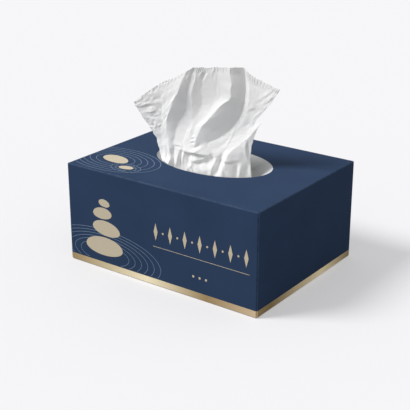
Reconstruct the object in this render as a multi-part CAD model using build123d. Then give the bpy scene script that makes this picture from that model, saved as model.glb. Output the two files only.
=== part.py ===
from build123d import *
from math import cos, exp, pi, radians, sin
import os

# All sizes are in millimetres. X runs along the front, +Y to the back, Z up from the table.
box_length = 200.0
box_depth = 152.0
box_height = 91.0
board = 0.5  # thickness of the carton board
fold_radius = 1.2  # outside of every fold
flap_inset = 0.8  # the outer end flap stops this far short of the corners
side_flap_share = 0.32  # each inner side flap, as a share of the depth
glue_lap = 14.0  # width of the glued lap inside the back

mouth_length = 114.0  # oval opening in the top
mouth_width = 72.0
mouth_setback = 4.0  # the oval sits a little behind the middle

film = 0.15
film_margin = 9.0  # glued rim of the film round the mouth
film_sag = 8.0
film_floor = 0.76  # the sunk floor of the film, as a share of the mouth
slit_end = 17.0  # the slit stops this far inside each end of the mouth

stack_gap = 4.0  # room between the stack and each carton wall
stack_bulge = 1.5  # the folded edges round out to the front and back
headroom = 22.0  # from the top of the stack up to the slit
clear = 0.3  # a soft piece lies this far off what carries it

sheet = 0.4  # two plies
reach = 91.0  # from the slit to the free edge
fan_centre = -4.0
fan_left = 142.0  # directions of the two free corners, in degrees from +X
fan_right = 48.0
flare = 1.75  # the sides rise steeply, then spread
twist = 18.0  # the fan turns this far, left side to the front
fold_depth = 8.0
gathers = 7
gather_depth = 3.2
gather_fade = 5.0  # how fast the gathers die out above the mouth
bunch_margins = (4.0, 8.0)  # sheet to the ends of the slit, left and right
mouth_margins = (8.0, 23.0)  # sheet to the ends of the mouth, left and right

# Each crease: its place across the sheet (-1 left, 1 right) at the mouth, half way up and at the
# free edge, how far it stands forward there, in fold depths, and its share of the reach.
creases = [
    ((-1.0, -1.0, -1.0), (0.0, -0.3, -0.7), 0.98),
    ((-0.70, -0.70, -0.24), (0.2, 0.8, 0.6), 0.94),
    ((-0.56, -0.45, -0.08), (-0.2, -0.6, -0.7), 0.99),
    ((-0.32, -0.08, 0.34), (0.3, 1.0, 0.7), 1.03),
    ((-0.14, 0.32, 0.52), (-0.2, -0.9, -0.8), 1.02),
    ((0.45, 0.70, 0.78), (0.3, 0.5, 0.4), 1.01),
    ((1.0, 1.0, 1.0), (0.0, -0.2, 0.3), 1.04),
]
columns = 56
rows_below = 6
rows_above = 11

end_layers = 3 * board  # side flap, base flap and outer flap
top_under = box_height - board
slit_height = top_under - film_sag
slit_length = mouth_length - 2 * slit_end
slit_gap = 2 * gather_depth + 8.0  # pushed open by the bunched sheet
stack_top = slit_height - headroom


def mix(a, b, t):
    return a + (b - a) * t


def ease(t):
    return t * t * (3 - 2 * t)


def through(values, t):
    # a parabola through the values at 0, 0.5 and 1
    a, b, c = values
    return a * (1 - t) * (1 - 2 * t) + 4 * b * t * (1 - t) + c * t * (2 * t - 1)


def make_carton():
    body = Box(
        box_length - 2 * board, box_depth, box_height, align=(Align.CENTER, Align.CENTER, Align.MIN)
    )
    body = fillet(body.edges(), fold_radius)
    # the top panel runs down over each end as the outer flap
    wrap = Plane.XZ * Pos(0, flap_inset) * Rectangle(
        box_length, box_height - flap_inset, align=(Align.CENTER, Align.MIN)
    )
    wrap = fillet(wrap.vertices().group_by(Axis.Z)[-1], fold_radius)
    body += extrude(wrap, box_depth / 2 - flap_inset, both=True)

    # between the two side flaps the end is one layer thinner inside
    hollow_height = box_height - 2 * board
    hollow = Box(box_length - 2 * end_layers, box_depth - 2 * board, hollow_height)
    hollow = fillet(hollow.edges().filter_by(Axis.X), fold_radius - board)
    between_flaps = box_depth * (1 - 2 * side_flap_share)
    hollow += Box(box_length - 2 * (end_layers - board), between_flaps, hollow_height)
    body -= Pos(0, 0, box_height / 2) * hollow

    lap_length = box_length - 2 * end_layers - 2 * fold_radius
    lap = Box(lap_length, board, glue_lap, align=(Align.CENTER, Align.MAX, Align.MIN))
    body += Pos(0, box_depth / 2 - board, fold_radius) * lap

    mouth = extrude(Ellipse(mouth_length / 2, mouth_width / 2), 4 * board)
    return body - Pos(0, mouth_setback, box_height - 2 * board) * mouth


def make_film():
    mouth = Ellipse(mouth_length / 2, mouth_width / 2)
    floor = Ellipse(mouth_length / 2 * film_floor, mouth_width / 2 * film_floor)
    dip = loft([mouth, Pos(0, 0, -film_sag) * floor], ruled=True)
    rim = Ellipse(mouth_length / 2 + film_margin, mouth_width / 2 + film_margin)
    slit = Ellipse(slit_length / 2, slit_gap / 2)
    skin = extrude(rim, -film) + Pos(0, 0, -film) * dip
    skin -= dip + Pos(0, 0, -film_sag - film) * extrude(slit, film)
    return Pos(0, mouth_setback, top_under) * skin


def make_stack():
    height = stack_top - board
    half = box_depth / 2 - board - stack_gap - stack_bulge
    outline = Polyline((-half, 0), (half, 0))
    outline += ThreePointArc((half, 0), (half + stack_bulge, height / 2), (half, height))
    outline += Polyline((half, height), (-half, height))
    outline += ThreePointArc((-half, height), (-half - stack_bulge, height / 2), (-half, 0))
    length = box_length - 2 * end_layers - 2 * stack_gap
    return Pos(0, 0, board) * extrude(Plane.YZ * make_face(outline), length / 2, both=True)


def between_creases(u, places, values):
    # eased from each crease to the next
    k = max(n for n in range(len(places) - 1) if n == 0 or places[n] < u)
    t = (u - places[k]) / (places[k + 1] - places[k])
    return mix(values[k], values[k + 1], ease(t))


def fold_stand(u, v):
    places = [through(place, v) for place, stand, share in creases]
    stands = [through(stand, v) for place, stand, share in creases]
    return fold_depth * between_creases(u, places, stands)


def edge_reach(u):
    places = [place[-1] for place, stand, share in creases]
    shares = [share for place, stand, share in creases]
    return reach * between_creases(u, places, shares)


def sheet_point(u, v):
    # u crosses the sheet from -1 to 1; v is -1 on the stack, 0 at the mouth, 1 at the free edge
    across = (u + 1) / 2
    at_slit = mix(bunch_margins[0] - slit_length / 2, slit_length / 2 - bunch_margins[1], across)
    at_mouth = mix(mouth_margins[0] - mouth_length / 2, mouth_length / 2 - mouth_margins[1], across)
    if v < 0:
        height = mix(box_height, stack_top + clear, -v)
        below = min((box_height - height) / (box_height - slit_height), 1.0)
        along = mix(at_mouth, at_slit, ease(below))
        turn = twist * 0.55 * (1 - below)
        stand = fold_stand(u, 0.0) * (1 - below)
    else:
        direction = radians(mix(fan_left, fan_right, across))
        edge = fan_centre + edge_reach(u) * cos(direction)
        along = mix(at_mouth, edge, v**flare)
        height = mix(box_height, slit_height + edge_reach(u) * sin(direction), v)
        turn = twist * mix(0.55, 1.0, min(3 * v, 1.0))
        stand = fold_stand(u, v)
    fade = (1 - u**8) * exp(-gather_fade * max(v, 0.0))
    stand += gather_depth * fade * cos(gathers * pi * (u + 1))
    c = cos(radians(turn))
    s = sin(radians(turn))
    return Vector(along * c + stand * s, mouth_setback + along * s - stand * c, height)


def sheet_normal(u, v):
    step = 1e-3
    side = sheet_point(min(u + step, 1), v) - sheet_point(max(u - step, -1), v)
    rise = sheet_point(u, min(v + step, 1)) - sheet_point(u, max(v - step, -1))
    return side.cross(rise).normalized()


def make_sheet():
    # small flat facets between the two faces of the sheet and round its edges
    across = [2 * k / columns - 1 for k in range(columns + 1)]
    up = [k / rows_below - 1 for k in range(rows_below)]
    up += [k / rows_above for k in range(rows_above + 1)]
    front = []
    back = []
    for v in up:
        row = [(sheet_point(u, v), sheet_normal(u, v) * (sheet / 2)) for u in across]
        front.append([point + normal for point, normal in row])
        back.append([point - normal for point, normal in row])

    facets = []
    for grid_a, grid_b in ((front, front), (back, back)):
        for low_a, high_b in zip(grid_a, grid_b[1:]):
            for k in range(columns):
                facets.append((low_a[k], low_a[k + 1], high_b[k + 1], high_b[k]))
    for one, other in ((front[0], back[0]), (front[-1], back[-1])):
        for k in range(columns):
            facets.append((one[k], one[k + 1], other[k + 1], other[k]))
    for k in range(len(up) - 1):
        for end in (0, -1):
            facets.append((front[k][end], front[k + 1][end], back[k + 1][end], back[k][end]))

    skin = []
    for a, b, c, d in facets:
        skin.append(Face(Wire.make_polygon([a, b, c])))
        skin.append(Face(Wire.make_polygon([a, c, d])))
    return Solid(Shell(skin))


os.makedirs("parts", exist_ok=True)
export_step(make_carton(), "parts/carton.step")
export_step(make_film(), "parts/slit_film.step")
export_step(make_stack(), "parts/tissue_stack.step")
export_step(make_sheet(), "parts/popup_tissue.step")
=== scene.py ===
from math import cos, exp, pi, radians, sin

import bpy
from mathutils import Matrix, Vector, noise


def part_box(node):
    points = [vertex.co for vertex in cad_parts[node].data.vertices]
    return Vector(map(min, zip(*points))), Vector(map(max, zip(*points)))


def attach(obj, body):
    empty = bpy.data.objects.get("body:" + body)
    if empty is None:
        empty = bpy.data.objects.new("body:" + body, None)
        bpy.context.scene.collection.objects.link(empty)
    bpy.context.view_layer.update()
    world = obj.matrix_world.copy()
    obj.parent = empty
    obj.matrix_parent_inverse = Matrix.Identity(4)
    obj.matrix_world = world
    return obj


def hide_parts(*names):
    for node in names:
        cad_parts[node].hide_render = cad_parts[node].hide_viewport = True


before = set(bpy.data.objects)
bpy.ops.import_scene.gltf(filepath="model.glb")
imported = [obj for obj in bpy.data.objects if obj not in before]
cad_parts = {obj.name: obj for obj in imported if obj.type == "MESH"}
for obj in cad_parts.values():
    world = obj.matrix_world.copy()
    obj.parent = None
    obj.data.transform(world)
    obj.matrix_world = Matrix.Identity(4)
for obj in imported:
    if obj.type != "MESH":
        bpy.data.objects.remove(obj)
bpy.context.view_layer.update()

mm = 0.001
carton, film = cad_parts["carton"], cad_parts["slit_film"]
bpy.ops.object.select_all(action="DESELECT")
print("frame loaded:", ", ".join(sorted(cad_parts)))


# small helpers for shader trees and modelling

def startMaterial(name, color, roughness):
    mat = bpy.data.materials.new(name)
    mat.use_nodes = True
    tree = mat.node_tree
    shader = tree.nodes["Principled BSDF"]
    shader.inputs["Base Color"].default_value = (*color, 1)
    shader.inputs["Roughness"].default_value = roughness
    return mat, tree, shader


def addNode(tree, kind, inputs=None, **settings):
    made = tree.nodes.new(kind)
    for key, value in settings.items():
        setattr(made, key, value)
    for key, value in (inputs or {}).items():
        feed(tree, value, made.inputs[key])
    return made


def feed(tree, value, socket):  # a value or another node's output
    if isinstance(value, bpy.types.NodeSocket):
        tree.links.new(value, socket)
    else:
        socket.default_value = value


def calc(tree, operation, a, b=0.0, clamp=False):
    made = addNode(tree, "ShaderNodeMath", {0: a, 1: b}, operation=operation, use_clamp=clamp)
    return made.outputs[0]


def blendColor(tree, share, a, b):
    return addNode(tree, "ShaderNodeMix", {0: share, 6: a, 7: b}, data_type="RGBA").outputs[2]


def speckle(tree, spot, scale, detail=3.0, roughness=0.55):
    made = addNode(tree, "ShaderNodeTexNoise", {"Vector": spot, "Scale": scale,
                                                "Detail": detail, "Roughness": roughness})
    return made.outputs["Fac"]


def spread(tree, value, low, high, toLow, toHigh):
    made = addNode(tree, "ShaderNodeMapRange", {"Value": value, "From Min": low, "From Max": high,
                                                "To Min": toLow, "To Max": toHigh}, clamp=True)
    return made.outputs[0]


def ramp(tree, value, stops):
    made = addNode(tree, "ShaderNodeValToRGB", {"Fac": value})
    bar = made.color_ramp
    while len(bar.elements) < len(stops):
        bar.elements.new(0.5)
    for element, (place, color) in zip(bar.elements, stops):
        element.position = place
        element.color = (*color, 1)
    return made.outputs["Color"]


def bumpInto(tree, shader, height, strength, distance):
    made = addNode(tree, "ShaderNodeBump", {"Strength": strength, "Distance": distance, "Height": height})
    tree.links.new(made.outputs[0], shader.inputs["Normal"])


def grey(value):
    return (value, value, value, 1)


def scaled(color, factor):
    return tuple(c * factor for c in color)


def clip(value, low=0.0, high=1.0):
    return max(low, min(high, value))


def ruffle(x, y, z):
    return noise.noise(Vector((x, y, z)))


def applyAll(piece):
    bpy.context.view_layer.objects.active = piece
    for m in list(piece.modifiers):
        bpy.ops.object.modifier_apply(modifier=m.name)


def onlySelect(piece):
    bpy.ops.object.select_all(action="DESELECT")
    piece.select_set(True)
    bpy.context.view_layer.objects.active = piece


# stage, lamps and camera
stage = {"floor": (0.905, 0.90, 0.918), "floorPaint": (0.835, 0.831, 0.847), "floorSize": 12,
         "bounce": 0.34, "paleShare": 0.40, "sky": 0.51,
         "sunFrom": (-0.74, -0.67), "sunHeight": 46, "sunSize": 22, "sun": 0.86}
view = {"place": (0.4909, -0.6809, 0.3793), "down": 21.393, "round": 36.152, "lens": 89.08, "sensor": 36}


def backdropRays(tree):  # rays that should see the pale studio
    path = addNode(tree, "ShaderNodeLightPath")
    seen = calc(tree, "MAXIMUM", path.outputs["Is Camera Ray"], path.outputs["Is Glossy Ray"])
    return calc(tree, "MAXIMUM", seen, path.outputs["Is Transmission Ray"])


bpy.ops.mesh.primitive_plane_add(size=stage["floorSize"])
floor = bpy.context.active_object
floor.name = "studioFloor"
floorMat, floorTree, floorShader = startMaterial("studioFloor", stage["floorPaint"], 0.9)
floorShader.inputs["Specular IOR Level"].default_value = 0.0
seen = backdropRays(floorTree)
floorTone = blendColor(floorTree, seen, grey(stage["bounce"]), (*stage["floorPaint"], 1))
floorTree.links.new(floorTone, floorShader.inputs["Base Color"])
pale = addNode(floorTree, "ShaderNodeEmission", {"Color": (*stage["floor"], 1)})
both = addNode(floorTree, "ShaderNodeMixShader", {0: calc(floorTree, "MULTIPLY", seen, stage["paleShare"])})
floorTree.links.new(floorShader.outputs[0], both.inputs[1])
floorTree.links.new(pale.outputs[0], both.inputs[2])
floorTree.links.new(both.outputs[0], floorTree.nodes["Material Output"].inputs["Surface"])
floor.data.materials.append(floorMat)

world = bpy.data.worlds.new("studio")
bpy.context.scene.world = world
world.use_nodes = True
skyTree = world.node_tree
skyTone = blendColor(skyTree, backdropRays(skyTree), grey(stage["sky"]), (*stage["floor"], 1))
skyTree.links.new(skyTone, skyTree.nodes["Background"].inputs["Color"])

sunX, sunY = stage["sunFrom"]
sunUp = radians(stage["sunHeight"])
toLamp = Vector((sunX * cos(sunUp), sunY * cos(sunUp), sin(sunUp)))
bpy.ops.object.light_add(type="SUN", location=toLamp * 2)
sun = bpy.context.active_object
sun.data.energy = pi * stage["sun"]
sun.data.angle = radians(stage["sunSize"])
sun.rotation_euler = toLamp.to_track_quat("Z", "Y").to_euler()

bpy.ops.object.camera_add(location=view["place"],
                          rotation=(radians(90 - view["down"]), 0, radians(view["round"])))
camera = bpy.context.active_object
camera.data.lens = view["lens"]
camera.data.sensor_width = view["sensor"]
bpy.context.scene.camera = camera
bpy.context.scene.view_settings.view_transform = "Standard"
print("stage, lamp and camera set")


# printed board of the carton
board = {"half": (100 * mm, 76 * mm), "height": 91 * mm, "band": 6.5 * mm,
         "skin": 30 * mm, "foldFrom": 1.5 * mm, "foldTo": 0.2 * mm,
         "navy": (0.029, 0.052, 0.106), "navyWornAndHighlit": (0.070, 0.100, 0.160), "raw": (0.74, 0.72, 0.68),
         "goldPaintedShade": (0.27, 0.185, 0.080), "goldTan": (0.365, 0.258, 0.122), "goldWarm": (0.66, 0.51, 0.33),
         "goldPaintedHighlight": (0.93, 0.83, 0.58), "goldEndPaintedHighlight": (0.98, 0.83, 0.52)}


def boardMaterial():
    mat, tree, shader = startMaterial("navyBoard", board["navy"], 0.45)
    spot = addNode(tree, "ShaderNodeTexCoord")
    place, facing = spot.outputs["Object"], spot.outputs["Normal"]
    x, y, z = addNode(tree, "ShaderNodeSeparateXYZ", {0: place}).outputs
    nx, _, nz = addNode(tree, "ShaderNodeSeparateXYZ", {0: facing}).outputs

    # print covers the faces that look away from the middle of the box
    middle = (0, 0, board["height"] / 2)
    offset = addNode(tree, "ShaderNodeVectorMath", {0: place, 1: middle}, operation="SUBTRACT")
    outward = addNode(tree, "ShaderNodeVectorMath", {0: offset.outputs[0], 1: facing}, operation="DOT_PRODUCT")
    printed = calc(tree, "GREATER_THAN", outward.outputs["Value"], board["skin"])
    upright = calc(tree, "LESS_THAN", calc(tree, "ABSOLUTE", nz), 0.5)
    band = calc(tree, "MULTIPLY", calc(tree, "LESS_THAN", z, board["band"]), upright)

    # wear and a painted highlight: paler board along the folds, in patches
    sides = [(calc(tree, "ABSOLUTE", x), board["half"][0]), (calc(tree, "ABSOLUTE", y), board["half"][1]),
             (z, board["height"])]
    near = [spread(tree, value, end - board["foldFrom"], end - board["foldTo"], 0, 1) for value, end in sides]
    pairs = [calc(tree, "MULTIPLY", near[i], near[j]) for i, j in ((0, 1), (1, 2), (0, 2))]
    fold = calc(tree, "ADD", calc(tree, "ADD", pairs[0], pairs[1]), pairs[2], clamp=True)
    scuff = spread(tree, speckle(tree, place, 260, 4), 0.35, 0.75, 0.15, 1.0)
    wearAndHighlight = calc(tree, "MULTIPLY", fold, scuff)

    grain = speckle(tree, place, 1500, 4, 0.6)
    cloud = speckle(tree, place, 22, 2)
    shade = calc(tree, "ADD", calc(tree, "MULTIPLY", grain, 0.5), calc(tree, "MULTIPLY", cloud, 0.5))
    navy = ramp(tree, shade, [(0.30, scaled(board["navy"], 0.90)), (0.70, scaled(board["navy"], 1.12))])
    # mixes in the paler fold colour: wear and a painted highlight
    navy = blendColor(tree, wearAndHighlight, navy, (*board["navyWornAndHighlit"], 1))

    # painted reflection: the foil's colour runs from darker to a bright patch and back along the front and
    # along the end, in place of the lamps' reflection
    alongFront = spread(tree, x, -board["half"][0], board["half"][0], 0, 1)
    alongEnd = spread(tree, y, -board["half"][1], board["half"][1], 0, 1)
    brushed = calc(tree, "MULTIPLY", calc(tree, "SUBTRACT", grain, 0.5), 0.10)
    frontPaintedReflection = [(0.0, board["goldTan"]), (0.44, board["goldPaintedHighlight"]),
                  (0.75, board["goldTan"]), (1.0, board["goldWarm"])]
    endPaintedReflection = [(0.0, board["goldTan"]), (0.13, board["goldPaintedShade"]),
                (0.67, board["goldEndPaintedHighlight"]), (1.0, board["goldPaintedShade"])]
    gold = blendColor(tree, calc(tree, "GREATER_THAN", calc(tree, "ABSOLUTE", nx), 0.5),
                      ramp(tree, calc(tree, "ADD", alongFront, brushed), frontPaintedReflection),
                      ramp(tree, calc(tree, "ADD", alongEnd, brushed), endPaintedReflection))

    fibre = speckle(tree, place, 900, 5, 0.7)
    raw = ramp(tree, fibre, [(0.25, scaled(board["raw"], 0.86)), (0.7, board["raw"])])
    color = blendColor(tree, printed, raw, blendColor(tree, band, navy, gold))
    tree.links.new(color, shader.inputs["Base Color"])
    foil = calc(tree, "MULTIPLY", band, printed)
    tree.links.new(calc(tree, "MULTIPLY", foil, 0.55), shader.inputs["Metallic"])
    rough = spread(tree, grain, 0.3, 0.7, 0.44, 0.56)
    rough = calc(tree, "SUBTRACT", rough, calc(tree, "MULTIPLY", foil, 0.14))  # foil is smoother
    bare = calc(tree, "SUBTRACT", 1.0, printed)
    rough = calc(tree, "ADD", rough, calc(tree, "MULTIPLY", bare, 0.4))
    tree.links.new(rough, shader.inputs["Roughness"])
    shader.inputs["IOR"].default_value = 1.05  # satin print, little shine
    bumpInto(tree, shader, calc(tree, "ADD", grain, calc(tree, "MULTIPLY", cloud, 2.0)), 0.10, 0.00025)
    return mat


carton.data.materials.clear()
carton.data.materials.append(boardMaterial())
print("carton board finished")


# printed shapes on the front and top: stacked pebbles, ripples round them and a row of lozenges
printPlan = {
    "lift": 0.03, "liftOver": 0.07, "ink": 0.03, "line": 0.42, "frontAt": -76, "topAt": 91, "underside": 0.82,
    "trim": {"left": -98, "foot": 7.6, "frontEdge": -74.3},
    "beige": (0.575, 0.500, 0.372), "silver": (0.175, 0.245, 0.345),
    "pebbles": [("front", -60, 21, 21, 9.5, 2), ("front", -57, 38.5, 15.5, 7.6, -4),
                ("front", -61, 52.2, 10.6, 5.8, 5), ("front", -58.5, 62.2, 6.2, 3.8, -6),
                ("top", -72, -44, 14.5, 8.6, 12), ("top", -50, -56, 7.0, 4.4, -10)],
    "ripples": [("front", -60, 15, 28, 0.36, 7, 6), ("top", -72, -44, 20, 0.62, 6.5, 5),
                ("top", -50, -56, 10.5, 0.62, 4.5, 2)],
    "lozenges": [("front", -2 + 15.2 * i, 50, 2.1, 7.8) for i in range(7)],
    "beads": [("front", 5.6 + 15.2 * i, 50, 0.95, 0.95) for i in range(6)]
    + [("front", 37 + 6.5 * i, 20, 1.1, 1.1) for i in range(3)],
    "rule": {"left": -5, "right": 92.5, "height": 36.5, "thick": 0.4},
}


def inkMaterial(name, color, roughness):
    mat, tree, shader = startMaterial(name, color, roughness)
    place = addNode(tree, "ShaderNodeTexCoord").outputs["Object"]
    grain = speckle(tree, place, 1300, 4, 0.6)
    tone = ramp(tree, grain, [(0.3, scaled(color, 0.92)), (0.7, scaled(color, 1.06))])
    tree.links.new(tone, shader.inputs["Base Color"])
    rough = spread(tree, grain, 0.3, 0.7, roughness - 0.06, roughness + 0.08)
    tree.links.new(rough, shader.inputs["Roughness"])
    shader.inputs["IOR"].default_value = 1.2
    bumpInto(tree, shader, grain, 0.10, 0.0002)
    return mat


def startFlat(panel, s, t, points, fill, lift):  # a circle lying on a panel, in edit mode
    onFront = panel == "front"
    spot = Vector((s, printPlan["frontAt"] - lift, t) if onFront else (s, t, printPlan["topAt"] + lift)) * mm
    bpy.ops.object.select_all(action="DESELECT")
    bpy.ops.mesh.primitive_circle_add(vertices=points, radius=mm, fill_type=fill, location=spot,
                                      rotation=(pi / 2 if onFront else 0, 0, 0))
    bpy.ops.object.transform_apply(location=True, rotation=True, scale=True)
    bpy.ops.object.mode_set(mode="EDIT")
    bpy.ops.mesh.select_all(action="SELECT")
    return spot, onFront


def stretch(spot, onFront, wide, high):
    bpy.ops.transform.resize(value=(wide, 1, high) if onFront else (wide, high, 1), center_override=spot)


def finishPrint(name, pieces, mat):
    bpy.ops.object.select_all(action="DESELECT")
    for piece in pieces:
        piece.select_set(True)
    bpy.context.view_layer.objects.active = pieces[0]
    bpy.ops.object.join()
    made = bpy.context.active_object
    made.name = made.data.name = name
    ink = made.modifiers.new("ink", "SOLIDIFY")
    ink.thickness, ink.offset = printPlan["ink"] * mm, 1
    applyAll(made)
    made.data.materials.append(mat)
    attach(made, "root")
    return made


def flatDisc(panel, s, t, wide, high, turn=0, points=44, flatten=1.0):
    spot, onFront = startFlat(panel, s, t, points, "NGON", printPlan["liftOver"])  # lies over the lines
    stretch(spot, onFront, wide, high)
    bpy.ops.transform.rotate(value=radians(turn), orient_axis="Y" if onFront else "Z", center_override=spot)
    bpy.ops.object.mode_set(mode="OBJECT")
    made = bpy.context.active_object
    if flatten < 1:  # a pebble's flatter underside
        axis = 2 if onFront else 1
        for vert in made.data.vertices:
            if vert.co[axis] < spot[axis]:
                vert.co[axis] = spot[axis] + (vert.co[axis] - spot[axis]) * flatten
    return made


def ring(panel, s, t, wide, high, width):
    spot, onFront = startFlat(panel, s, t, 120, "NOTHING", printPlan["lift"])
    stretch(spot, onFront, wide, high)
    bpy.ops.mesh.extrude_edges_move()
    stretch(spot, onFront, (wide - width) / wide, (high - width) / high)
    trim = printPlan["trim"]  # lines stop short of the panel's edges
    edges = [((trim["left"] * mm, 0, 0), (-1, 0, 0))]
    if onFront:
        edges.append(((0, 0, trim["foot"] * mm), (0, 0, -1)))
    else:
        edges.append(((0, trim["frontEdge"] * mm, 0), (0, -1, 0)))
    for co, no in edges:
        bpy.ops.mesh.select_all(action="SELECT")
        bpy.ops.mesh.bisect(plane_co=co, plane_no=no, clear_outer=True)
    bpy.ops.mesh.select_all(action="SELECT")
    bpy.ops.mesh.normals_make_consistent(inside=False)
    bpy.ops.object.mode_set(mode="OBJECT")
    made = bpy.context.active_object
    outward = Vector((0, -1, 0)) if onFront else Vector((0, 0, 1))
    if made.data.polygons[0].normal.dot(outward) < 0:
        made.data.flip_normals()
    return made


beigeInk = inkMaterial("beigeInk", printPlan["beige"], 0.55)
silverInk = inkMaterial("silverInk", printPlan["silver"], 0.42)
ripples = [ring(panel, s, t, first + step * i, (first + step * i) * flat, printPlan["line"])
           for panel, s, t, first, flat, step, count in printPlan["ripples"] for i in range(count)]
finishPrint("ripplePrint", ripples, silverInk)
pebbles = [flatDisc(*pebble, flatten=printPlan["underside"]) for pebble in printPlan["pebbles"]]
finishPrint("pebblePrint", pebbles, beigeInk)
frieze = [flatDisc(*lozenge, points=4) for lozenge in printPlan["lozenges"]]
frieze += [flatDisc(*bead, points=20) for bead in printPlan["beads"]]
rule = printPlan["rule"]
ruleMiddle = ((rule["left"] + rule["right"]) / 2, printPlan["frontAt"] - printPlan["liftOver"], rule["height"])
bpy.ops.object.select_all(action="DESELECT")
bpy.ops.mesh.primitive_plane_add(size=mm, location=Vector(ruleMiddle) * mm, rotation=(pi / 2, 0, 0))
bpy.context.active_object.scale = (rule["right"] - rule["left"], rule["thick"], 1)
bpy.ops.object.transform_apply(location=True, rotation=True, scale=True)
frieze.append(bpy.context.active_object)
finishPrint("friezePrint", frieze, beigeInk)
print("print laid on the front and top")


# thin film under the mouth
# the middle colour is painted shade, darkening the film towards the middle of the mouth
filmLook = {"mouth": (57 * mm, 36 * mm), "setback": 4 * mm,
            "middle": (0.30, 0.310, 0.313), "rim": (0.66, 0.672, 0.675)}


def filmMaterial():
    mat, tree, shader = startMaterial("frostedFilm", filmLook["rim"], 0.32)
    place = addNode(tree, "ShaderNodeTexCoord").outputs["Object"]
    haze = speckle(tree, place, 60, 3)
    x, y, _ = addNode(tree, "ShaderNodeSeparateXYZ", {0: place}).outputs
    wide, deep = filmLook["mouth"]
    across = calc(tree, "DIVIDE", x, wide)
    inward = calc(tree, "DIVIDE", calc(tree, "SUBTRACT", y, filmLook["setback"]), deep)
    squares = calc(tree, "ADD", calc(tree, "MULTIPLY", across, across), calc(tree, "MULTIPLY", inward, inward))
    paintedShadeRamp = calc(tree, "SQRT", squares)
    paintedShadeRamp = spread(tree, paintedShadeRamp, 0.70, 1.0, 0.1, 0.85)  # painted shade: darker towards the middle of the mouth, lighter at the rim
    cloudy = calc(tree, "MULTIPLY", calc(tree, "SUBTRACT", haze, 0.5), 0.5)
    tone = ramp(tree, calc(tree, "ADD", paintedShadeRamp, cloudy), [(0.0, filmLook["middle"]), (1.0, filmLook["rim"])])
    tree.links.new(tone, shader.inputs["Base Color"])
    tree.links.new(spread(tree, haze, 0.3, 0.7, 0.26, 0.40), shader.inputs["Roughness"])
    shader.inputs["IOR"].default_value = 1.18
    bumpInto(tree, shader, speckle(tree, place, 140, 2), 0.12, 0.0006)
    return mat


film.data.materials.clear()
film.data.materials.append(filmMaterial())


# tissue paper, for the stack and the sheet
tissueLook = {"base": (0.89, 0.888, 0.885), "dull": (0.872, 0.870, 0.866), "clean": (0.912, 0.910, 0.908),
              "glow": 0.6, "glowDepth": 0.6 * mm, "hemFrom": 0.945, "hemFull": 0.958, "hemMarks": 760.0}


def tissueMaterial(name, hem):
    mat, tree, shader = startMaterial(name, tissueLook["base"], 0.95)
    spot = addNode(tree, "ShaderNodeTexCoord")
    place = spot.outputs["Object"]
    fibre = speckle(tree, place, 1900, 5, 0.65)
    cloud = speckle(tree, place, 90, 3)
    tone = calc(tree, "ADD", calc(tree, "MULTIPLY", fibre, 0.6), calc(tree, "MULTIPLY", cloud, 0.4))
    tone = ramp(tree, tone, [(0.3, tissueLook["dull"]), (0.7, tissueLook["clean"])])
    tree.links.new(tone, shader.inputs["Base Color"])
    tree.links.new(spread(tree, fibre, 0.3, 0.7, 0.88, 1.0), shader.inputs["Roughness"])
    shader.inputs["Specular IOR Level"].default_value = 0.15
    shader.inputs["Subsurface Weight"].default_value = tissueLook["glow"]  # light glows through the thin sheet
    shader.inputs["Subsurface Radius"].default_value = (1, 1, 1)
    shader.inputs["Subsurface Scale"].default_value = tissueLook["glowDepth"]
    height = calc(tree, "ADD", fibre, calc(tree, "MULTIPLY", cloud, 0.8))
    if hem:  # short crimped marks along the free edge
        across, along, _ = addNode(tree, "ShaderNodeSeparateXYZ", {0: spot.outputs["UV"]}).outputs
        marks = calc(tree, "SINE", calc(tree, "MULTIPLY", across, tissueLook["hemMarks"]))
        strip = spread(tree, along, tissueLook["hemFrom"], tissueLook["hemFull"], 0, 1)
        patches = spread(tree, speckle(tree, place, 300, 2), 0.38, 0.55, 0, 1)
        strip = calc(tree, "MULTIPLY", strip, patches)
        height = calc(tree, "ADD", height, calc(tree, "MULTIPLY", calc(tree, "MULTIPLY", marks, strip), 1.6))
    bumpInto(tree, shader, height, 0.30, 0.00022)
    return mat


# folded sheets lying in the carton
stackPlan = {"leaves": 16, "wander": 0.7, "edge": 1.2}
low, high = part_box("tissue_stack")
bpy.ops.mesh.primitive_cube_add(size=1, location=(low + high) / 2, scale=high - low)
stack = bpy.context.active_object
stack.name = "foldedSheets"
bpy.ops.object.transform_apply(location=True, rotation=True, scale=True)
bpy.ops.object.mode_set(mode="EDIT")
for leaf in range(1, stackPlan["leaves"]):
    bpy.ops.mesh.select_all(action="SELECT")
    cut = low.z + (high.z - low.z) * leaf / stackPlan["leaves"]
    bpy.ops.mesh.bisect(plane_co=(0, 0, cut), plane_no=(0, 0, 1))
bpy.ops.mesh.select_all(action="SELECT")
bpy.ops.mesh.subdivide(number_cuts=3)
bpy.ops.object.mode_set(mode="OBJECT")
bevel = stack.modifiers.new("leafEdges", "BEVEL")
bevel.width, bevel.segments, bevel.limit_method = stackPlan["edge"] * mm, 2, "ANGLE"
applyAll(stack)
for vert in stack.data.vertices:  # leaves a little in and out of line, never past the solid
    wave = 0.5 + 0.5 * ruffle(vert.co.x * 30, vert.co.y * 30, vert.co.z * 900)
    shift = wave * stackPlan["wander"] * mm
    vert.co.x -= shift * (1 if vert.co.x > 0 else -1)
    vert.co.y -= shift * (1 if vert.co.y > 0 else -1)
bpy.ops.object.shade_smooth_by_angle(angle=radians(35))
stack.data.materials.append(tissueMaterial("stackTissue", False))
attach(stack, "root")
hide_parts("tissue_stack")
print("stack of folded sheets modelled")


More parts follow.
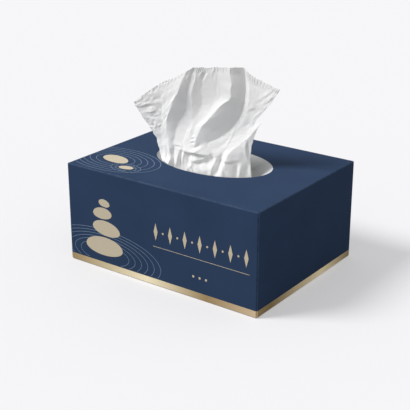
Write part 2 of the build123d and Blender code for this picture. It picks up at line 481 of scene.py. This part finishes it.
# the sheet standing in the mouth: creases from left to right, each from the mouth to the free edge,
# as share of the way up, then along, up and forward of the turned fan plane in mm
sheetPlan = {
    "turn": 18, "setback": 4, "mouth": (57, 36), "rim": 91.6, "rimShare": 0.975, "thickness": 0.16,
    "slitHeight": 82.5, "slitReach": (-38.5, 38.5), "slitFill": 5.4, "stackTop": 60.8,
    "columns": 112, "rowsAbove": 84, "rowsBelow": 8, "pleats": 13, "pleatDepth": 0.7, "pleatFade": 0.14,
    "settle": {"frames": 14, "quality": 5, "mass": 0.05, "stretch": 25, "shear": 8, "bend": 1.2, "air": 3,
               "pin": 1.0, "hold": 0.5, "spare": (0.01, 0.10)},
    "crumple": {"soft": 0.5, "fine": 0.22, "creped": 0.13, "leftEar": 0.75, "rightEar": 0.45},
    "hem": {"from": 0.955, "ease": 0.012, "depth": 0.38, "crimps": 62, "ragged": 0.9},
    "wander": 1.3, "crisp": (2, 7, 11), "sharpness": 0.75, "stepWidth": 1.1,
    # how each facet curves between its creases
    "bends": (0, -0.1, 0.6, 0.2, 0, 0, 0.25, 0.6, -0.2, 0, 0.2, -0.1),
    "creases": [
        [(0, -43.8, 90.1, 11.5), (0.14, -47.6, 92.5, 5.6), (0.3, -52.4, 103.2, 0), (0.48, -57.1, 112.1, -1.5),
         (0.66, -64.3, 120.1, -2.5), (0.82, -71.6, 129.1, -3.5), (1, -76.5, 137.4, -5)],
        [(0, -41.5, 88.9, 12), (0.14, -44.8, 91.9, 6.1), (0.3, -47.6, 102.9, 1), (0.48, -48.7, 113.2, -0.5),
         (0.66, -49.1, 125.1, -1.5), (0.82, -49.6, 138.9, -2.5), (1, -52.2, 154.9, -4)],
        [(0, -36.0, 86.8, 14), (0.14, -36.7, 96.4, 11), (0.3, -40.4, 107.8, 6.2), (0.48, -42.2, 123.1, 3.4),
         (0.66, -37.2, 140.6, 3.6), (0.82, -31.6, 152.9, 3.2), (1, -24.3, 169.0, 0.6)],
        [(0, -32.6, 84.3, 12), (0.14, -33.6, 96.2, 9.6), (0.3, -35.0, 109.6, 3.8), (0.48, -31.6, 123.0, -0.2),
         (0.66, -25.7, 136.5, -0.7), (0.82, -24.7, 149.6, -0.2), (1, -19.3, 172.7, -0.8)],
        [(0, -24.0, 83.4, 13.7), (0.14, -24.6, 95.8, 11.6), (0.3, -26.5, 108.1, 6), (0.48, -22.7, 120.4, 1.8),
         (0.66, -20.0, 135.4, 0.6), (0.82, -19.9, 152.3, 1.2), (1, -15.1, 173.4, -0.4)],
        [(0, -18.2, 83.4, 15.5), (0.14, -19.1, 96.7, 12.8), (0.3, -20.9, 110.1, 7.4), (0.48, -18.3, 122.6, 2.8),
         (0.66, -11.1, 138.9, -0.2), (0.82, -11.3, 154.5, -0.7), (1, -8.5, 173.8, -1.4)],
        [(0, -13.6, 83.4, 17), (0.14, -15.7, 98.4, 13.8), (0.3, -18.0, 109.8, 8.2), (0.48, -14.4, 122.7, 3.6),
         (0.66, -2.1, 139.9, 2.2), (0.82, 3.7, 157.2, 1), (1, 2.5, 174.8, -1)],
        [(0, -7.5, 83.4, 18.7), (0.14, -11.3, 99.2, 14.8), (0.3, -13.8, 109.1, 10.2), (0.48, -7.7, 124.4, 7.2),
         (0.66, 7.1, 141.9, 6.8), (0.8, 16.4, 151.4, 6.4), (0.86, 16.4, 157.6, 6), (1, 15.5, 176.5, 3.6)],
        [(0, 6.0, 83.4, 21.4), (0.14, 1.5, 98.2, 13.8), (0.3, -3.3, 107.6, 8.2), (0.48, 10.0, 116.3, 2.8),
         (0.66, 23.2, 132.4, 0.8), (0.82, 27.3, 150.2, 0.1), (1, 26.7, 176.0, -2)],
        [(0, 11.8, 83.4, 20.7), (0.14, 7.9, 98.7, 13.2), (0.3, 7.6, 106.5, 7.6), (0.48, 18.4, 117.0, 4.2),
         (0.66, 28.5, 131.3, 3.8), (0.82, 32.6, 150.7, 4.2), (1, 31.1, 172.4, 1.2)],
        [(0, 14.2, 83.4, 20.5), (0.14, 10.8, 98.7, 12.8), (0.3, 16.1, 109.0, 7.6), (0.48, 26.7, 119.0, 5.4),
         (0.58, 30.9, 125.8, 4.6), (0.66, 32.2, 132.1, 4.6), (0.82, 37.1, 149.1, 5.6), (1, 37.9, 169.6, 3.2)],
        [(0, 17.0, 83.4, 19.6), (0.14, 15.4, 99.6, 15), (0.3, 22.8, 108.8, 10), (0.48, 32.8, 118.5, 7.8),
         (0.58, 34.3, 125.9, 5.6), (0.66, 36.5, 133.1, 6), (0.82, 43.4, 147.8, 7.6), (1, 47.4, 166.0, 6)],
        [(0, 38.4, 83.4, 12.5), (0.14, 36.1, 100.7, 10.2), (0.3, 37.6, 114.4, 8.8), (0.42, 41.3, 124.8, 9.4),
         (0.5, 44.6, 132.3, 10), (0.57, 37.7, 128.5, 6.5), (0.66, 41.2, 135.9, 7.5), (0.82, 51.7, 148.2, 10),
         (1, 60.5, 162.2, 10.5)],
    ],
    # small folds laid on afterwards: kind, height and half width in mm, then points along and up the fan
    "strokes": [
        ("step", 0.8, 2.2, (-69.0, 131.7), (-66.1, 134.0), (-62.4, 135.5), (-56.7, 135.8)),
        ("line", -0.6, 1.6, (-58.2, 139.4), (-53.5, 141.4), (-48.4, 141.8)),
        ("line", -0.5, 1.0, (-66.1, 124.2), (-60.8, 125.5), (-55.6, 124.9), (-47.3, 128.3)),
        ("line", 0.5, 1.0, (-66.1, 128.5), (-60.9, 128.8), (-55.6, 130.7)),
        ("line", -0.6, 1.5, (-62.0, 121.0), (-60.2, 118.2), (-57.7, 115.6)),
        ("line", 0.5, 1.2, (-53.6, 121.8), (-54.9, 117.7), (-54.5, 113.7)),
        ("line", 0.4, 1.0, (-70.7, 141.6), (-68.7, 136.3)),
        ("line", -0.5, 0.8, (-60.5, 146.1), (-58.3, 150.8)),
        ("line", -0.5, 0.8, (-56.9, 147.0), (-55.7, 152.2)),
        ("line", -0.4, 0.8, (-54.3, 148.6), (-53.0, 152.9)),
        ("line", 0.4, 1.0, (-52.3, 117.4), (-48.2, 120.3)),
        ("line", -0.4, 0.9, (-63.9, 143.7), (-59.3, 142.6)),
        ("line", 0.35, 0.9, (-46.9, 144.1), (-46.3, 133.3), (-45.5, 122.5)),
        ("line", 0.3, 0.7, (-43.8, 122.7), (-40.9, 128.8)),
        ("line", 0.3, 0.7, (-44.7, 114.7), (-42.1, 118.9)),
        ("line", -0.4, 1.2, (-54.1, 133.6), (-48.5, 132.9)),
        ("step", 0.35, 1.4, (-40.9, 159.1), (-46.0, 155.7), (-50.6, 154.0)),
        ("line", 0.4, 0.9, (-22.1, 159.2), (-24.1, 164.3)),
        ("step", 0.7, 2.0, (-6.2, 169.3), (-8.4, 165.5), (-10.1, 161.4)),
        ("line", 0.5, 1.2, (-13.3, 163.2), (-12.5, 167.1), (-10.2, 170.9)),
        ("step", 0.5, 1.3, (1.4, 170.6), (0.5, 166.2), (0.7, 162.0)),
        ("line", 0.5, 1.2, (-1.7, 167.6), (-0.6, 174.0)),
        ("line", -0.4, 1.0, (4.2, 174.0), (4.9, 169.6)),
        ("line", -0.5, 1.4, (-19.7, 167.9), (-16.5, 172.3)),
        ("line", -0.3, 0.9, (9.3, 174.4), (10.0, 171.3)),
        ("step", 0.35, 1.2, (-17.1, 166.7), (-17.6, 159.6)),
        ("step", 0.4, 1.4, (3.3, 161.7), (3.7, 149.4)),
        ("step", 0.45, 1.8, (42.2, 150.0), (45.6, 153.4), (49.2, 155.9), (53.9, 160.4)),
        ("line", 0.25, 1.4, (45.8, 148.6), (50.3, 152.1), (56.0, 157.3)),
        ("line", -0.2, 1.0, (48.5, 147.3), (57.3, 156.4)),
        ("line", -0.35, 2.2, (34.2, 164.4), (42.1, 161.3)),
        ("step", 0.3, 3.1, (31.5, 139.5), (35.1, 141.9), (39.4, 143.1)),
        ("line", 0.45, 0.9, (19.5, 124.8), (17.6, 115.9), (12.7, 106.1)),
        ("step", 1, 2.7, (34.6, 98.6), (32.8, 107.3), (32.4, 115.0)),
        ("step", 0.9, 2.4, (11.0, 97.0), (17.7, 96.0), (25.1, 97.5)),
        ("line", -1.5, 1.7, (-17.6, 103.4), (-13.2, 104.7), (-8.4, 107.8)),
        ("line", 1, 1.3, (-18.0, 101.5), (-12.9, 102.6), (-7.1, 105.3)),
        ("line", 0.5, 0.7, (-18.4, 112.3), (-14.9, 114.0)),
        ("line", -0.5, 0.7, (-18.7, 110.8), (-14.7, 112.3)),
        ("line", 0.5, 0.7, (-18.8, 109.2), (-14.4, 110.8)),
        ("line", -0.5, 0.7, (-18.7, 107.7), (-14.2, 109.1)),
        ("line", 0.4, 0.7, (-44.2, 128.5), (-41.7, 131.7)),
        ("line", -0.4, 0.7, (-44.3, 125.6), (-41.7, 128.3)),
        ("line", 1.43, 1.3, (-38.7, 87.0), (-37.3, 90.1), (-34.8, 93.2)),
        ("line", -2.21, 1.8, (-33.6, 93.2), (-35.1, 97.1), (-34.4, 102.2)),
        ("line", 1.56, 1.4, (-31.4, 86.7), (-29.7, 90.9), (-29.3, 94.6), (-28.6, 101.0)),
        ("line", -2.21, 1.3, (-25.8, 85.9), (-27.3, 92.0), (-26.8, 99.4)),
        ("line", 1.43, 1.2, (-24.1, 87.0), (-24.7, 94.1), (-23.5, 101.5)),
        ("line", -2.08, 2.3, (-17.3, 89.1), (-19.4, 93.8), (-19.1, 99.3)),
        ("line", -0.78, 1.1, (-33.0, 103.1), (-30.7, 103.1), (-28.3, 102.1)),
        ("line", 0.65, 1.1, (-33.8, 104.9), (-27.7, 104.4)),
        ("step", 1.95, 4.3, (-26.2, 100.5), (-20.8, 99.4), (-13.7, 100.5), (-7.3, 99.6), (1.0, 99.0)),
        ("line", 1.3, 1.5, (-16.7, 92.5), (-12.9, 94.5), (-7.9, 95.5), (-0.9, 99.2)),
        ("line", -2.73, 2.8, (-13.5, 91.4), (-6.5, 93.5), (-1.4, 93.6), (6.0, 95.9)),
        ("line", -1.95, 2.2, (1.1, 102.3), (4.4, 95.0)),
        ("line", 1.3, 1.8, (-20.1, 84.0), (-17.7, 88.6), (-14.1, 91.2)),
        ("line", -3.4, 3.1, (12.1, 102.0), (10.5, 97.0), (9.3, 90.6), (5.7, 81.9)),
        ("step", -1.17, 3.1, (9.8, 100.5), (7.3, 95.7), (5.5, 90.2), (3.6, 82.6)),
        ("line", 1.56, 2.7, (15.1, 98.3), (13.4, 93.7), (12.6, 89.2), (11.9, 83.1)),
        ("line", -1.69, 1.7, (25.4, 95.5), (24.7, 90.5), (25.6, 83.2)),
        ("line", 1.17, 1.6, (29.0, 94.5), (28.6, 90.5), (28.1, 84.9)),
        ("line", -1.43, 1.9, (34.0, 94.6), (33.5, 89.8), (33.1, 84.0)),
        ("line", 0.78, 1.6, (-6.8, 88.0), (-2.5, 87.1), (1.3, 89.3)),
        ("line", -1.3, 1.5, (-41.2, 89.2), (-40.5, 94.3), (-41.7, 100.5)),
        ("line", 0.78, 1.2, (-43.0, 89.0), (-43.0, 94.0)),
    ],
}


def creasePoint(points, v):  # smooth run through a crease's points
    last = len(points) - 1
    k = max(i for i in range(last) if points[i][0] <= v)
    (v0, *p0), (v1, *p1) = points[k], points[k + 1]
    (va, *pa), (vb, *pb) = points[max(k - 1, 0)], points[min(k + 2, last)]
    span = v1 - v0
    t = (v - v0) / span
    out = []
    for a, b, before, after in zip(p0, p1, pa, pb):
        m0, m1 = (b - before) / (v1 - va) * span, (after - a) / (vb - v0) * span
        value = (2 * t**3 - 3 * t**2 + 1) * a + (t**3 - 2 * t**2 + t) * m0
        out.append(value + (3 * t**2 - 2 * t**3) * b + (t**3 - t**2) * m1)
    return Vector(out)


def fanAxes():
    c, s = cos(radians(sheetPlan["turn"])), sin(radians(sheetPlan["turn"]))
    return Vector((c, s, 0)), Vector((s, -c, 0))


def fanPlace(p):  # along, up, forward to the object's frame
    along, forward = fanAxes()
    return (Vector((0, sheetPlan["setback"], p[1])) + along * p[0] + forward * p[2]) * mm


def pleat(u, v):  # uneven gathers that fade upwards
    turns = sheetPlan["pleats"] * u + 0.9 * ruffle(u * 5.1, 3.7, 0.2)
    wave = sin(2 * pi * turns + 2.2 * ruffle(u * 3, v * 5, 1.4))
    size = 0.65 + 0.6 * ruffle(u * 9, v * 4, 7.3)
    return sheetPlan["pleatDepth"] * size * wave * exp(-((v - 0.03) / sheetPlan["pleatFade"]) ** 2)


def crumple(u, v):  # soft waves all over, knots in both ears
    amount = sheetPlan["crumple"]
    soft = ruffle(u * 6.5, v * 2.6, 0.0)
    fine = ruffle(u * 26, v * 9, 4.0)
    creped = ruffle(u * 52, v * 24, 9.0)
    leftEar = clip((0.15 - u) / 0.08) * clip((v - 0.42) / 0.15)
    rightEar = clip((u - 0.90) / 0.07) * clip((v - 0.62) / 0.2)
    ears = amount["leftEar"] * leftEar + amount["rightEar"] * rightEar
    knots = ruffle(u * 40, v * 20, 2.0) - abs(ruffle(u * 30 + v * 9, v * 16 - u * 12, 6.0))
    return amount["soft"] * soft + amount["fine"] * fine + amount["creped"] * creped + ears * knots


def sheetColumns():  # each facet's columns start on its crease
    creases, widths = sheetPlan["creases"], []
    for a, b in zip(creases, creases[1:]):
        spots = [(creasePoint(a, v / 6), creasePoint(b, v / 6)) for v in range(7)]
        widths.append(sum((fanPlace(p) - fanPlace(q)).length for p, q in spots))
    columns, start = [], 0.0
    for k, width in enumerate(widths):
        share = width / sum(widths)
        count = max(3, round(sheetPlan["columns"] * share))
        columns += [(start + share * i / count, k, i / count) for i in range(count)]
        start += share
    return columns + [(1.0, len(widths) - 1, 1.0)]


def creaseSpot(k, v):  # a crease never runs quite true
    p = creasePoint(sheetPlan["creases"][k], v)
    p.x += sheetPlan["wander"] * min(1.0, 4 * v) * ruffle(v * 15, k * 7.3, 0.5)
    return p


def sheetPoint(column, v):  # v runs from -1 on the stack through 0 at the mouth to 1 at the free edge
    u, k, t = column
    rise = max(v, 0.0)
    a, b = creaseSpot(k, rise), creaseSpot(k + 1, rise)
    p = a.lerp(b, t)
    p.y += sheetPlan["hem"]["ragged"] * max(0.0, 10 * rise - 9) * ruffle(u * 34, 2.5, 8.0)
    p.z = a.z + (b.z - a.z) * (t + sheetPlan["bends"][k] * (t * t - t))
    p.z += pleat(u, v) + crumple(u, rise) * min(1.0, 0.35 + 2.2 * rise)
    spot = fanPlace(p)
    if v >= 0:
        return spot
    left, right = sheetPlan["slitReach"]
    bunch = sin(2 * pi * (sheetPlan["pleats"] * u + 2.2 * ruffle(u * 4.1, 3.7, 0.2)))
    bunch = sheetPlan["slitFill"] * clip(bunch * (0.6 + ruffle(u * 13, 1.7, 5.2)), -1.0)
    slit = Vector((left + (right - left) * u, sheetPlan["setback"] + bunch, sheetPlan["slitHeight"])) * mm
    if v > -0.5:  # on the film, towards the slit
        return spot.lerp(slit, -v / 0.5)
    drop = (-v - 0.5) / 0.5  # under the slit, down to the stack
    slit.z = (sheetPlan["slitHeight"] * (1 - drop) + sheetPlan["stackTop"] * drop) * mm
    return slit


def makeSheet():
    columns, above, below = sheetColumns(), sheetPlan["rowsAbove"], sheetPlan["rowsBelow"]
    rows = [-1 + i / below for i in range(below)] + [i / above for i in range(above + 1)]
    verts = [sheetPoint(column, v) for v in rows for column in columns]
    wide = len(columns)
    faces = [(r * wide + c, r * wide + c + 1, (r + 1) * wide + c + 1, (r + 1) * wide + c)
             for r in range(len(rows) - 1) for c in range(wide - 1)]
    mesh = bpy.data.meshes.new("standingSheet")
    mesh.from_pydata(verts, [], faces)
    uv = mesh.uv_layers.new(name="sheet")
    for loop in mesh.loops:
        r, c = divmod(loop.vertex_index, wide)
        uv.data[loop.index].uv = (columns[c][0], max(rows[r], 0.0))
    piece = bpy.data.objects.new("standingSheet", mesh)
    bpy.context.scene.collection.objects.link(piece)
    return piece, columns


# the paper has a little more length than the folds, so it buckles into fine wrinkles
def settleSheet(piece, columns):
    rest, wide = sheetPlan["settle"], len(columns)
    hold = piece.vertex_groups.new(name="hold")
    firm = wide * (sheetPlan["rowsBelow"] + 2)
    hold.add(range(firm), 1.0, "REPLACE")
    hold.add(range(firm, len(piece.data.vertices)), rest["hold"], "REPLACE")
    cloth = piece.modifiers.new("settle", "CLOTH")
    paper = cloth.settings
    paper.quality = rest["quality"]
    paper.mass = rest["mass"]
    paper.tension_stiffness = paper.compression_stiffness = rest["stretch"]
    paper.shear_stiffness = rest["shear"]
    paper.bending_stiffness = rest["bend"]
    paper.air_damping = rest["air"]
    paper.vertex_group_mass = "hold"
    paper.pin_stiffness = rest["pin"]
    slack = piece.vertex_groups.new(name="slack")  # more spare paper at the ears and the gathers
    for index in range(len(piece.data.vertices)):
        r, c = divmod(index, wide)
        u, v = columns[c][0], (r - sheetPlan["rowsBelow"]) / sheetPlan["rowsAbove"]
        ear = max(0.0, (0.16 - u) / 0.16, (u - 0.90) / 0.10)
        slack.add([index], min(1.0, ear + exp(-(v / 0.2) ** 2)), "REPLACE")
    paper.vertex_group_shrink = "slack"
    paper.shrink_min, paper.shrink_max = -rest["spare"][0], -rest["spare"][1]
    paper.effector_weights.gravity = 0
    cloth.collision_settings.use_collision = False
    cloth.point_cache.frame_start, cloth.point_cache.frame_end = 1, rest["frames"]
    for step in range(1, rest["frames"] + 1):
        bpy.context.scene.frame_set(step)
    applyAll(piece)
    bpy.context.scene.frame_set(1)


# a soft ridge or dent along a line, or a step across it
def strokeHeight(kind, height, width, path, spot):
    nearest, gone = None, 0.0
    for a, b in zip(path, path[1:]):
        run = b - a
        t = clip((spot - a).dot(run) / run.length_squared)
        gap = spot - a.lerp(b, t)
        if nearest is None or gap.length < nearest:
            nearest, side, way = gap.length, run.normalized().cross(gap), gone + t * run.length
        gone += run.length
    part = way / gone
    ends = 0.3 + 0.7 * min(1.0, 3 * part, 3 * (1 - part))  # dies out at both ends
    height *= exp(-(nearest / width) ** 2) * ends
    return height if kind == "line" else height * clip(side / sheetPlan["stepWidth"], -1.0)


def strokeReach(width, path):
    far = 2.5 * width
    xs, ys = [p.x for p in path], [p.y for p in path]
    return min(xs) - far, max(xs) + far, min(ys) - far, max(ys) + far


def foldStrokes(piece):
    along, forward = fanAxes()
    hem, setback = sheetPlan["hem"], sheetPlan["setback"]
    wide, deep = sheetPlan["mouth"]
    strokes = [(kind, height, width, [Vector(p) for p in path])
               for kind, height, width, *path in sheetPlan["strokes"]]
    reach = [strokeReach(width, path) for _, _, width, path in strokes]
    sheetSpot, sheetUv = {}, piece.data.uv_layers["sheet"].data
    for loop in piece.data.loops:
        sheetSpot[loop.vertex_index] = sheetUv[loop.index].uv
    for vert in piece.data.vertices:
        spot = Vector((vert.co.dot(along) / mm - setback * along.y, vert.co.z / mm))
        if spot.y < sheetPlan["slitHeight"] + 1:
            continue
        lift = sum(strokeHeight(*stroke, spot) for stroke, (x0, x1, y0, y1) in zip(strokes, reach)
                   if x0 < spot.x < x1 and y0 < spot.y < y1)
        u, v = sheetSpot[vert.index]
        if v > hem["from"]:  # crimped free edge
            patch = max(0.0, 0.6 + 0.9 * ruffle(u * 14, 0.5, 3.0))
            edge = min(1.0, (v - hem["from"]) / hem["ease"])
            lift += hem["depth"] * patch * sin(2 * pi * hem["crimps"] * u) * edge
        vert.co += forward * lift * mm
        if spot.y < sheetPlan["rim"]:  # stays behind the rim of the mouth
            x, y = vert.co.x / mm / wide, (vert.co.y / mm - setback) / deep
            out = max(1.0, (x * x + y * y) ** 0.5 / sheetPlan["rimShare"])
            vert.co.x, vert.co.y = x / out * wide * mm, (y / out * deep + setback) * mm


sheet, columns = makeSheet()
onlySelect(sheet)
bpy.ops.object.mode_set(mode="EDIT")
bpy.ops.mesh.select_all(action="SELECT")
bpy.ops.mesh.vertices_smooth(factor=0.3, repeat=1)
bpy.ops.mesh.select_all(action="DESELECT")
bpy.ops.object.mode_set(mode="OBJECT")
ridges = {c for c, (u, k, t) in enumerate(columns) if t == 0 and k in sheetPlan["crisp"]}
for edge in sheet.data.edges:  # the paper folds sharply along these creases
    first, second = edge.vertices
    edge.select = first % len(columns) == second % len(columns) and first % len(columns) in ridges
bpy.ops.object.mode_set(mode="EDIT")
bpy.ops.transform.edge_crease(value=sheetPlan["sharpness"])
bpy.ops.object.mode_set(mode="OBJECT")
settleSheet(sheet, columns)
finer = sheet.modifiers.new("finer", "SUBSURF")
finer.levels = finer.render_levels = 1
applyAll(sheet)
foldStrokes(sheet)
plies = sheet.modifiers.new("plies", "SOLIDIFY")
plies.thickness, plies.offset = sheetPlan["thickness"] * mm, 0
applyAll(sheet)
bpy.ops.object.shade_smooth()
sheet.data.materials.append(tissueMaterial("sheetTissue", True))
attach(sheet, "root")
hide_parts("popup_tissue")
print("standing sheet made,", len(sheet.data.polygons), "faces")
